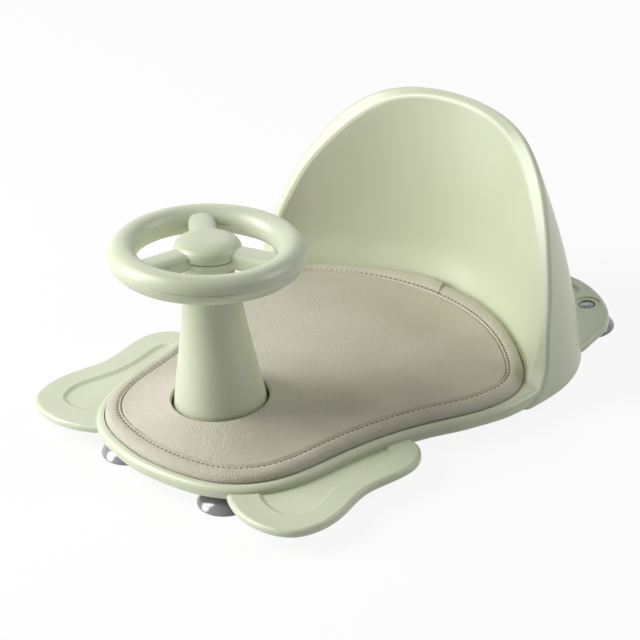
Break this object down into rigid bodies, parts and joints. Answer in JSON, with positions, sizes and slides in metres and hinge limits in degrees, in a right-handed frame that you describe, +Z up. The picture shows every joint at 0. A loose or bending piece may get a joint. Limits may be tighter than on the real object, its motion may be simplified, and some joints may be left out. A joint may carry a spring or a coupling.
{
  "type": "baby bath seat",
  "caption": "Low moulded seat with a bucket backrest, sewn pad, suction-cup feet and a small steering wheel that spins on a tapered column.",
  "frame": {"origin": "middle of the footprint's bounding box, on the surface that the suction cups stand on", "axes": "+Z up, +Y towards the backrest and tail, +X towards the child's left; the seat is alike on both sides of the plane X = 0"},
  "size_m": [0.3022, 0.4052, 0.1797],
  "materials": {
    "shell_plastic": "satin",
    "bearing_plastic": "smooth natural nylon",
    "steel": "stainless",
    "pad_leather": "fine-grained imitation leather",
    "pad_foam": "closed-cell foam",
    "pad_lining": "woven lining",
    "cup_soft": "clear-grey soft vinyl"
  },
  "bodies": {
    "seat": {"seat_shell": "shell_plastic", "steering_column": "shell_plastic", "wheel_spindle": "steel", "retaining_washer": "steel", "retaining_screw": "steel", "column_screws": "steel", "pad_cover": "pad_leather", "pad_binding": "pad_leather", "pad_foam": "pad_foam", "pad_backing": "pad_lining", "pad_snap_studs": "bearing_plastic", "suction_cup_front_left": "cup_soft", "suction_cup_front_right": "cup_soft", "suction_cup_rear_left": "cup_soft", "suction_cup_rear_right": "cup_soft"},
    "wheel": {"wheel_upper_shell": "shell_plastic", "wheel_lower_shell": "shell_plastic", "wheel_bush": "bearing_plastic", "wheel_shell_screws": "steel"}
  },
  "joints": [
    {"name": "steering", "type": "hinge", "parent": "seat", "child": "wheel", "pos_m": [0, -0.12515, 0.1608], "axis": [0, 0.0872, 0.9962], "continuous": true}
  ]
}
